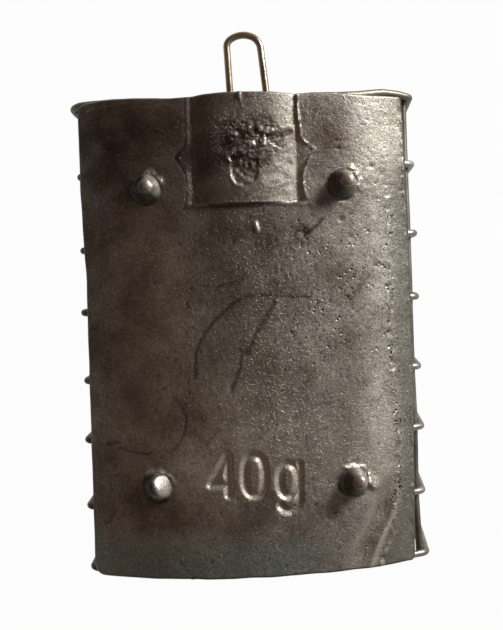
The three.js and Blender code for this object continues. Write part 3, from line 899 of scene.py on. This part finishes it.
def plateGrid():
    # places of the outer face's points across and along, and how far each is from the nominal edge
    look = plateLook
    across = unevenSteps(-15.85, 15.85, look["columns"], look["finerAcross"])
    along = unevenSteps(-22.9, 22.7, look["rows"], look["finerAlong"])
    nominalX, nominalY = np.meshgrid(across, along, indexing="ij")
    shareX = (nominalX - across[0]) / (across[-1] - across[0])
    shareY = (nominalY - along[0]) / (along[-1] - along[0])
    sidesX, sidesY = (leftEdge(nominalY), rightEdge(nominalY)), (bottomEdge(nominalX), topEdge(nominalX))
    x = sidesX[0] * (1 - shareX) + sidesX[1] * shareX
    y = sidesY[0] * (1 - shareY) + sidesY[1] * shareY
    for sideX, sideY in ((-1, -1), (1, -1), (-1, 1), (1, 1)):
        radius = look["lowLeftRadius"] if (sideX, sideY) == (-1, -1) else look["cornerRadius"]
        partX = np.clip(radius - np.abs(sidesX[sideX > 0] - x), 0, None)
        partY = np.clip(radius - np.abs(sidesY[sideY > 0] - y), 0, None)
        both = (partX > 0) & (partY > 0)
        shrink = np.where(both, np.maximum(partX, partY) / np.maximum(np.hypot(partX, partY), 1e-9), 1)
        x = np.where(both, x - sideX * partX * (1 - shrink), x)
        y = np.where(both, y - sideY * partY * (1 - shrink), y)
    toEdge = np.minimum.reduce([nominalX - across[0], across[-1] - nominalX, nominalY - along[0], along[-1] - nominalY])
    return x, y, toEdge


def innerFace(x, y):
    innerRadius = plateLook["radius"] - plateLook["thickness"]
    face = plateLook["crown"] - plateLook["radius"] + np.sqrt(innerRadius**2 - x**2)
    return face + 0.06 * unevenness(x, y, 3.0, 71) + 0.03 * unevenness(x, y, 1.1, 72)


def leadPlate(material):
    look = plateLook
    columns, rows, coarser = look["columns"], look["rows"], look["coarser"]
    x, y, toEdge = plateGrid()
    height = plateHeight(x, y)
    worn = 1 - np.clip(toEdge / look["rounding"], 0, 1)
    height -= look["rounding"] * (1 - np.sqrt(1 - worn**2))
    topIndex = np.arange(x.size).reshape(x.shape)
    points = [np.stack([x.ravel(), y.ravel() + plateMiddle, height.ravel()], 1)]
    faces = gridFaces(topIndex).tolist()

    # the wall: rings of the rim down to the inner face
    rim = ([(i, 0) for i in range(columns)] + [(columns, j) for j in range(rows)]
           + [(i, rows) for i in range(columns, 0, -1)] + [(0, j) for j in range(rows, 0, -1)])
    onRim = tuple(np.array(rim).T)
    rimX, rimY, rimTop = x[onRim], y[onRim], height[onRim]
    rimFoot = innerFace(rimX, rimY)
    rings, used = [topIndex[onRim]], x.size
    ripple = 0.03 * unevenness(rimX + rimY, rimX - rimY, 1.2, 73)
    for share, inset in look["rimRings"]:
        shrinkX = np.sign(rimX) * (np.abs(rimX) > 15.0) * (inset + ripple)
        shrinkY = np.sign(rimY) * (np.abs(rimY) > 22.0) * (inset + ripple)
        level = rimTop * (1 - share) + rimFoot * share
        points.append(np.stack([rimX - shrinkX, rimY - shrinkY + plateMiddle, level], 1))
        rings.append(np.arange(used, used + len(rim)))
        used += len(rim)
    for upper, lower in zip(rings, rings[1:]):
        faces += np.stack([np.roll(upper, -1), upper, lower, np.roll(lower, -1)], 1).tolist()

    # the inner face, coarser, zipped to the last ring
    coarseX, coarseY = x[coarser:-1:coarser, coarser:-1:coarser], y[coarser:-1:coarser, coarser:-1:coarser]
    coarseIndex = used + np.arange(coarseX.size).reshape(coarseX.shape)
    points.append(np.stack([coarseX.ravel(), coarseY.ravel() + plateMiddle, innerFace(coarseX, coarseY).ravel()], 1))
    faces += gridFaces(coarseIndex)[:, ::-1].tolist()

    def partner(place):
        column, row = (min(max(round(place[k] / coarser) - 1, 0), coarseX.shape[k] - 1) for k in (0, 1))
        return int(coarseIndex[column, row])

    last = rings[-1].tolist()
    for k in range(len(rim)):
        after = (k + 1) % len(rim)
        here, there = partner(rim[k]), partner(rim[after])
        faces.append([last[after], last[k], here])
        if here != there:
            faces.append([last[after], here, there])
    return meshPiece("leadPlateCasting", np.concatenate(points), faces, material)


def studMesh(index, material):
    # a blunt peg with a spread foot and a round tip, leaning a little as it came out of the mould
    look = studLook
    centreX, centreY = look["places"][index]
    leanX, leanY = look["leans"][index]
    middle = float(outerFace(np.array(centreX)))
    height, flare, tipRadius = look["heights"][index], look["flares"][index], look["tipRadii"][index]
    domeHeight = tipRadius * 0.72
    shoulder = height - domeHeight
    profile = [(look["baseRadius"] + 0.12, -look["root"]), (look["baseRadius"] + 0.12, -0.12)]
    for step in range(look["rings"] + 1):
        t = step / look["rings"]
        profile.append((tipRadius + (look["baseRadius"] - tipRadius) * (1 - t) ** flare, shoulder * t))
    for step in range(2, look["domeSteps"]):
        angle = step / look["domeSteps"] * math.pi / 2
        profile.append((tipRadius * math.cos(angle), shoulder + domeHeight * math.sin(angle)))
    wobble = np.random.default_rng(80 + index).uniform(-1, 1, 6)
    points = [(centreX, centreY + plateMiddle, middle - look["root"])]
    for radius, level in profile:
        share = max(level, 0) / height
        for side in range(look["sides"]):
            angle = side / look["sides"] * math.tau
            bulge = 1 + look["wobble"] * (wobble[0] * math.cos(2 * angle) + wobble[1] * math.sin(3 * angle)
                                          + wobble[2] * math.cos(5 * angle + 3 * share))
            atX = centreX + leanX * share + radius * bulge * math.cos(angle)
            atY = centreY + plateMiddle + leanY * share + radius * bulge * math.sin(angle)
            onFace = float(outerFace(np.array(atX))) * (1 - share) + middle * share
            points.append((atX, atY, onFace + level))
    points.append((centreX + leanX, centreY + plateMiddle + leanY, middle + height))
    if index in look["flats"]:
        flat = middle + look["flats"][index]
        slopeX, slopeY, swell = look["flatSlope"]
        for place, (atX, atY, atZ) in enumerate(points):
            right, up = atX - centreX, atY - centreY - plateMiddle
            lowered = flat - slopeX * right - slopeY * up - swell * (right**2 + up**2)
            apart = math.hypot(atZ - lowered, look["flatSoftness"])
            points[place] = (atX, atY, (atZ + lowered - apart) / 2)
    faces = ringFaces(len(profile), look["sides"], len(points) - 1)
    return meshPiece(f"stud{index}", points, faces, material)


def castPlate(material):
    plate = leadPlate(material)
    studs = [studMesh(index, material) for index in range(len(studLook["places"]))]
    for stud in studs:
        union = plate.modifiers.new("stud", "BOOLEAN")
        union.operation = "UNION"
        union.solver = "MANIFOLD"
        union.object = stud
    result = plainCopy(plate, "leadPlate")
    for stud in studs:
        bpy.data.objects.remove(stud)
    result.data.set_sharp_from_angle(angle=math.radians(62))
    places = np.empty(len(result.data.vertices) * 3)
    result.data.vertices.foreach_get("co", places)
    for name, values in plateWearAndLight(places.reshape(-1, 3) / mm).items():
        attribute = result.data.attributes.new(name, "FLOAT", "POINT")
        most = 2 if name == "pitted" else 1
        attribute.data.foreach_set("value", np.clip(values, 0, most).astype(np.float32))
    print("lead plate:", len(result.data.polygons), "faces")
    return result


# Wires: a path of points becomes a round wire

cageLook = {
    "wireRadius": 0.35,
    "wireSides": 16,
    "leadRadius": 29.6,  # to the middle of a hoop's wire in the lead
    "arcCentre": -3.4,
    "leadAngle": 10.6,  # degrees from the crown to the cut end of a hoop
    "bendAngle": 32.75,  # where the hoop leaves the lead's curve
    "edgeBend": 1.2,
    "sideFlare": 2.5,
    "rearBend": 6.0,
    "pressed": 0.14,  # how far a weld presses the wires together
    "beadSeat": 0.31,  # from the middle of a long wire to its weld beads
    "cutBack": 0.6,  # a long wire in the lead ends this far before the others
    "unevenness": 0.03,
    "bumpSize": 1.1,
    "wander": [(0.04, 6.0, 91), (0.03, 2.2, 92)],  # height, size of the waves, seed
    # where each hoop's bends lie against its place in the mesh: along the plate, and outwards
    "leftAlong": [-0.06, -0.08, -0.47, -0.58, -0.7, -1.02, -1.48, -1.7],
    "rightAlong": [0.21, 0.29, 0.48, 0.34, 0.11, -0.26, -0.46, -0.66],
    "leftOut": [0.5, 0.03, -0.04, 0.05, -0.05, 0.03, 0.03, -0.18],
    "rightOut": [-0.34, -0.26, -0.08, 0.01, 0.08, 0.28, 0.27, 0.57],
    # the top hoop on its way through the lead: covered on the left, proud of its end on the right
    "topAcross": [-17.0, -15.8, -12.3, -8.5, -5.0, 4.0, 8.2, 11.0, 13.7, 15.1, 16.6],
    "topAlong": [0.03, 0.26, 0.2, -0.15, -0.5, -0.4, -0.05, 0.14, 0.45, 0.42, 0.21],
}


def bentPath(start, heading, runs, longest=0.35):
    # points of straight and bent runs, each (length, turn in degrees)
    points = [tuple(start)]
    x, y = start
    angle = math.radians(heading)
    for length, turn in runs:
        steps = max(1, math.ceil(length / longest), math.ceil(abs(turn) / 7.5))
        for _ in range(steps):
            angle += math.radians(turn) / steps / 2
            x += length / steps * math.cos(angle)
            y += length / steps * math.sin(angle)
            angle += math.radians(turn) / steps / 2
            points.append((x, y))
    return points


def hoopRoute():
    # half a hoop is drawn, from its cut end in the lead to the middle of the rear, then mirrored
    look = cageLook
    start = math.radians(look["leadAngle"])
    leadRun = look["leadRadius"] * (math.radians(look["bendAngle"]) - start)
    sideAngle = 90 - look["sideFlare"]
    edgeTurn, rearTurn = sideAngle - look["bendAngle"], 180 - sideAngle
    half = bentPath(
        (look["leadRadius"] * math.sin(start), look["arcCentre"] + look["leadRadius"] * math.cos(start)),
        -look["leadAngle"],
        [(leadRun, look["leadAngle"] - look["bendAngle"]), (look["edgeBend"] * math.radians(edgeTurn), -edgeTurn)],
    )
    drop = half[-1][1] - look["wireRadius"] - look["rearBend"] * (1 + math.cos(math.radians(sideAngle)))
    sideRuns = [(drop / math.sin(math.radians(sideAngle)), 0), (look["rearBend"] * math.radians(rearTurn), -rearTurn)]
    half += bentPath(half[-1], -sideAngle, sideRuns)[1:]
    half += [(float(x), half[-1][1]) for x in np.linspace(half[-1][0], 0, 16)[1:]]
    return half + [(-x, z) for x, z in reversed(half[:-1])]


def settled(points, stations):
    # the mesh as it came out of the mould, with its bends where the photograph shows them
    look = cageLook
    x, y, z = np.asarray(points, float).T
    order = np.argsort(stations)

    def byHoop(name):
        return np.interp(y, np.array(stations)[order], np.array(look[name])[order])

    toRight = smoothStep(-15, 15, x)
    dy = byHoop("rightAlong") * toRight + byHoop("leftAlong") * (1 - toRight)
    nearTop = smoothStep(max(stations) - 3.0, max(stations) - 0.4, y) * smoothStep(19.5, 22.0, z)
    dy = dy * (1 - nearTop) + np.interp(x, look["topAcross"], look["topAlong"]) * nearTop
    dx = smoothStep(9, 15.5, np.abs(x)) * np.where(x > 0, byHoop("rightOut"), -byHoop("leftOut"))
    wander = sum(height * unevenness(y, x, size, seed) for height, size, seed in look["wander"])
    return np.stack([x + dx + 0.5 * wander, y + dy + wander, z], 1)


def newGroup(name, sockets):
    # a node group with its named inputs, each with its kind and value
    tree = bpy.data.node_groups.new(name, "GeometryNodeTree")
    found = {}
    for socketName, kind, value in sockets:
        socket = tree.interface.new_socket(name=socketName, in_out="INPUT", socket_type="NodeSocket" + kind)
        if value is not None:
            socket.default_value = value
        found[socketName] = socket.identifier
    tree.interface.new_socket(name="Geometry", in_out="OUTPUT", socket_type="NodeSocketGeometry")
    return tree, found, addNode(tree, "NodeGroupInput").outputs


def finishGroup(tree, geometry, material):
    for kind, extra in (("RealizeInstances", {}), ("SetShadeSmooth", {}), ("SetMaterial", {"Material": material})):
        geometry = addNode(tree, "GeometryNode" + kind, inputs={"Geometry": geometry, **extra}).outputs["Geometry"]
    addNode(tree, "NodeGroupOutput", inputs={"Geometry": geometry})


def bentWireGroup():
    # path edges -> curve -> round wire with slight unevenness -> plain mesh
    tree, sockets, given = newGroup("bentWire", [
        ("Path", "Geometry", None),
        ("Wire Radius", "Float", 0.35 * mm),
        ("Sides", "Int", 16),
        ("Unevenness", "Float", 0.02 * mm),
        ("Bump Size", "Float", 0.9 * mm),
        ("Seed", "Float", 0.0),
        ("Material", "Material", None),
    ])
    curve = addNode(tree, "GeometryNodeMeshToCurve", inputs={"Mesh": given["Path"]})
    circle = addNode(tree, "GeometryNodeCurvePrimitiveCircle",
                     inputs={"Resolution": given["Sides"], "Radius": given["Wire Radius"]})
    tube = addNode(tree, "GeometryNodeCurveToMesh",
                   inputs={"Curve": curve.outputs[0], "Profile Curve": circle.outputs["Curve"], "Fill Caps": True})
    bumps = addNode(tree, "ShaderNodeTexNoise", {"noise_dimensions": "4D"}, {
        "Vector": addNode(tree, "GeometryNodeInputPosition").outputs["Position"],
        "W": given["Seed"],
        "Scale": arithmetic(tree, "DIVIDE", 1.0, given["Bump Size"]),
        "Detail": 2.0,
    }).outputs["Fac"]
    height = arithmetic(tree, "MULTIPLY", arithmetic(tree, "SUBTRACT", bumps, 0.5), given["Unevenness"])
    push = addNode(tree, "ShaderNodeVectorMath", {"operation": "SCALE"},
                   {"Vector": addNode(tree, "GeometryNodeInputNormal").outputs["Normal"], "Scale": height})
    uneven = addNode(tree, "GeometryNodeSetPosition", inputs={"Geometry": tube.outputs[0], "Offset": push.outputs[0]})
    finishGroup(tree, uneven.outputs["Geometry"], given["Material"])
    return tree, sockets


def weldBeadGroup():
    # a small bead of zinc, turned and sized at random, on each crossing
    tree, sockets, given = newGroup("weldBeads", [
        ("Crossings", "Geometry", None),
        ("Bead Radius", "Float", 0.4 * mm),
        ("Spread", "Float", 0.2),
        ("Seed", "Int", 7),
        ("Material", "Material", None),
    ])
    bead = addNode(tree, "GeometryNodeMeshIcoSphere", inputs={"Radius": given["Bead Radius"], "Subdivisions": 2})
    turn = addNode(tree, "FunctionNodeRandomValue", {"data_type": "FLOAT_VECTOR"},
                   {0: (0, 0, 0), 1: (math.tau, math.tau, math.tau), "Seed": given["Seed"]})
    least = arithmetic(tree, "SUBTRACT", 1.0, given["Spread"])
    size = addNode(tree, "FunctionNodeRandomValue", {"data_type": "FLOAT"}, {2: least, 3: 1.0, "Seed": given["Seed"]})
    placed = addNode(tree, "GeometryNodeInstanceOnPoints",
                     inputs={"Points": given["Crossings"], "Instance": bead.outputs["Mesh"],
                             "Rotation": turn.outputs[0], "Scale": size.outputs[1]})
    finishGroup(tree, placed.outputs["Instances"], given["Material"])
    return tree, sockets


def grown(name, points, edges, group, values):
    # what a node group makes of points in mm, as a plain mesh
    tree, sockets = group
    mesh = bpy.data.meshes.new(name)
    mesh.from_pydata((np.asarray(points) * mm).tolist(), edges, [])
    source = bpy.data.objects.new(name + "Source", mesh)
    bpy.context.scene.collection.objects.link(source)
    modifier = source.modifiers.new(tree.name, "NODES")
    modifier.node_group = tree
    for socketName, value in values.items():
        modifier[sockets[socketName]] = value
    return plainCopy(source, name)


def wirePiece(name, points, values, group):
    piece = grown(name, points, [(k, k + 1) for k in range(len(points) - 1)], group, values)
    piece.data.set_sharp_from_angle(angle=math.radians(50))
    return piece


def boxMiddle(node):
    low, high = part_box(node)
    return (low + high) / 2 / mm, (high - low) / mm


def longWirePoints(node, route, stations):
    # straight along Y, pressed a little into the hoops by the welds, and where its weld beads sit
    look = cageLook
    middle, size = boxMiddle(node)
    away = np.hypot(route[:, 0] - middle.x, route[:, 1] - middle.z)
    nearest = int(np.argmin(away))
    towards = (route[nearest] - np.array([middle.x, middle.z])) / away[nearest]
    x, z = middle.x + look["pressed"] * towards[0], middle.z + look["pressed"] * towards[1]
    inLead = z > 22
    along = np.linspace(middle.y + size.y / 2 - look["cutBack"] * inLead, middle.y - size.y / 2, 90)
    seat = look["beadSeat"]
    beads = [] if inLead else [(x + seat * towards[0], station, z + seat * towards[1]) for station in stations]
    return settled([(x, y, z) for y in along], stations), beads


def cage(hoopMaterial, weatheredShadedWire, group):
    look = cageLook
    pieces, crossings = [], []
    route = np.array(hoopRoute())
    values = {"Wire Radius": look["wireRadius"] * mm, "Sides": look["wireSides"],
              "Unevenness": look["unevenness"] * mm, "Bump Size": look["bumpSize"] * mm}
    hoops, longs = ([name for name in sorted(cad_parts) if name.startswith(start)]
                    for start in ("hoop_wire", "long_wire"))
    stations = [boxMiddle(node)[0].y for node in hoops]
    for index, node in enumerate(hoops):
        points = settled([(x, stations[index], z) for x, z in route], stations)
        # the first hoop, at the top, takes the darker wire: weathering and painted shade
        own = {"Seed": float(index), "Material": hoopMaterial if index else weatheredShadedWire}
        pieces.append((wirePiece(node + "_wire", points, {**values, **own}, group), node))
    for index, node in enumerate(longs):
        points, beads = longWirePoints(node, route, stations)
        own = {"Seed": 20.0 + index, "Material": weatheredShadedWire}
        pieces.append((wirePiece(node + "_wire", points, {**values, **own}, group), node))
        crossings += beads
    print("cage:", len(hoops), "hoops,", len(longs), "long wires,", len(crossings), "welds")
    return pieces, settled(crossings, stations)


def weldBeads(crossings, material):
    look = {"radius": 0.36, "spread": 0.3, "seed": 7}
    values = {"Bead Radius": look["radius"] * mm, "Spread": look["spread"], "Seed": look["seed"], "Material": material}
    return grown("weldBeads", crossings, [], weldBeadGroup(), values)


def towLink(material, group):
    # bent by hand: a tight left shoulder, a longer right one, both legs leaning a little to the left
    look = {
        "wireRadius": 0.325,
        "wireSides": 24,
        "unevenness": 0.012,
        "bumpSize": 1.5,
        "depth": 26.65,
        "leftFoot": (-1.13, 23.0),
        "rightFoot": (2.25, 22.95),
        "leftLean": 92.7,
        "rightLean": 96.1,
        "leftLeg": 4.1,
        "bends": [(0.85, 58), (2.2, 56)],  # radius and turn, and the last one turns the rest
        "lastRadius": 1.45,
        "kneeDrop": 0.5,
        "root": 14.3,
        "rootRadius": 1.05,
        "longest": 0.12,  # step along the bends
    }
    left, right = np.array(look["leftFoot"]), np.array(look["rightFoot"])
    alongLeft, alongRight = (np.array([math.cos(math.radians(look[lean])), math.sin(math.radians(look[lean]))])
                             for lean in ("leftLean", "rightLean"))
    start = left + look["leftLeg"] * alongLeft
    remaining = look["leftLean"] + 180 - look["rightLean"] - sum(turn for _, turn in look["bends"])
    bends = [*look["bends"], (look["lastRadius"], remaining)]
    unit = bentPath((0, 0), look["leftLean"], [(r * math.radians(t), -t) for r, t in bends])
    # the bends are scaled so that they end on the right leg
    scale, rightLeg = np.linalg.solve(np.array([np.array(unit[-1]), -alongRight]).T, right - start)
    runs = [(scale * r * math.radians(t), -t) for r, t in bends]
    top = bentPath(tuple(start), look["leftLean"], runs, look["longest"])
    root, radius, drop = look["root"], look["rootRadius"], look["kneeDrop"]
    leftRoot = arcPoints((0, root), (radius, radius), 260, 180, 8) + [tuple(left - drop * alongLeft), tuple(left)]
    rightRoot = [tuple(right), tuple(right - drop * alongRight)] + arcPoints((0, root), (radius, radius), 0, -80, 8)
    points = [(x, y + plateMiddle, look["depth"]) for x, y in leftRoot + top + rightRoot]
    print("link: bends scaled by", round(float(scale), 3), "right leg", round(float(rightLeg), 2))
    values = {"Wire Radius": look["wireRadius"] * mm, "Sides": look["wireSides"], "Seed": 3.0,
              "Unevenness": look["unevenness"] * mm, "Bump Size": look["bumpSize"] * mm, "Material": material}
    return wirePiece("towLink", points, values, group)


# Stage


def addFloor():
    # a white board that turns up all round, so that low views see it too
    look = {"flat": 420, "outer": 700, "rise": 165, "sides": 96, "rings": 10}
    points = [(0, 0, 0)]
    for step in range(look["rings"] + 1):
        angle = step / look["rings"] * math.pi / 2
        radius = look["flat"] + (look["outer"] - look["flat"]) * math.sin(angle)
        level = look["rise"] * (1 - math.cos(angle))
        for side in range(look["sides"]):
            bearing = side / look["sides"] * math.tau
            points.append((radius * math.cos(bearing), radius * math.sin(bearing), level))
    faces = [face[::-1] for face in ringFaces(look["rings"] + 1, look["sides"])]
    floor = meshPiece("floor", points, faces, paleFloorMaterial())
    floor.data.shade_smooth()


def addLamp(name, look):
    # a square softbox that looks at the middle of the plate
    direction = Vector(look["direction"]).normalized()
    data = bpy.data.lights.new(name, "AREA")
    data.shape = "SQUARE"
    data.size = look["size"] * mm
    data.energy = look["power"]
    lamp = bpy.data.objects.new(name, data)
    lamp.location = direction * look["distance"] * mm + Vector((0, 0, 25 * mm))
    lamp.rotation_euler = direction.to_track_quat("Z", "Y").to_euler()
    bpy.context.scene.collection.objects.link(lamp)


def addLights():
    # a low softbox at the upper right, a wide weak one to its right, and a dim warm room
    window = {"direction": (0.75, 0.57, 0.33), "distance": 220, "size": 62, "power": 0.86}
    wall = {"direction": (0.8, -0.2, 0.56), "distance": 260, "size": 220, "power": 0.08}
    room = {"colour": "#ffd2b8", "level": 0.17}
    addLamp("window", window)
    addLamp("wall", wall)
    world = bpy.data.worlds.new("room")
    world.use_nodes = True
    background = world.node_tree.nodes["Background"]
    background.inputs["Color"].default_value = linearColour(room["colour"])
    background.inputs["Strength"].default_value = room["level"]
    bpy.context.scene.world = world


def handOver(piece, node=None):
    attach(piece, "root")
    if node:
        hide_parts(node)


addCamera()
bpy.context.scene.view_settings.view_transform = "Standard"
leadMaterial = castLead()
cageMaterial = zincWire("galvanised wire, welded", {
    "dark": "#75726b",
    "light": "#a5a29a",
    "cloudSize": 1.6,
    "markSize": 0.25,
    "markHeight": 0.012,
    "roughness": (0.3, 0.48),
    # painted shade on the bends at the left edge of the lead, in a brown tone: from none to full along each axis
    "leftShade": {"colour": "#3d342c", "reach": {"X": (-14.6, -15.8), "Z": (15.0, 20.0)}},
})
# a darker copy of the cage wire for the long wires and the top hoop: partly weathering, partly painted shade
weatheredShadedWire = zincWire("galvanised wire, weathered and shaded", {
    "dark": "#605c53",
    "light": "#7b766a",
    "cloudSize": 2.4,
    "markSize": 0.3,
    "markHeight": 0.015,
    "roughness": (0.4, 0.55),
})
linkMaterial = zincWire("spring wire, drawn bright", {
    "dark": "#857a6b",
    "light": "#b5aa96",
    "cloudSize": 2.4,
    "markSize": 0.2,
    "markHeight": 0.003,
    "roughness": (0.26, 0.36),
})
print("materials made")

handOver(castPlate(leadMaterial), "lead_plate")
wireGroup = bentWireGroup()
cagePieces, crossings = cage(cageMaterial, weatheredShadedWire, wireGroup)
for piece, node in cagePieces:
    handOver(piece, node)
handOver(weldBeads(crossings, cageMaterial))
handOver(towLink(linkMaterial, wireGroup), "tow_link")
print("link made")

addFloor()
addLights()
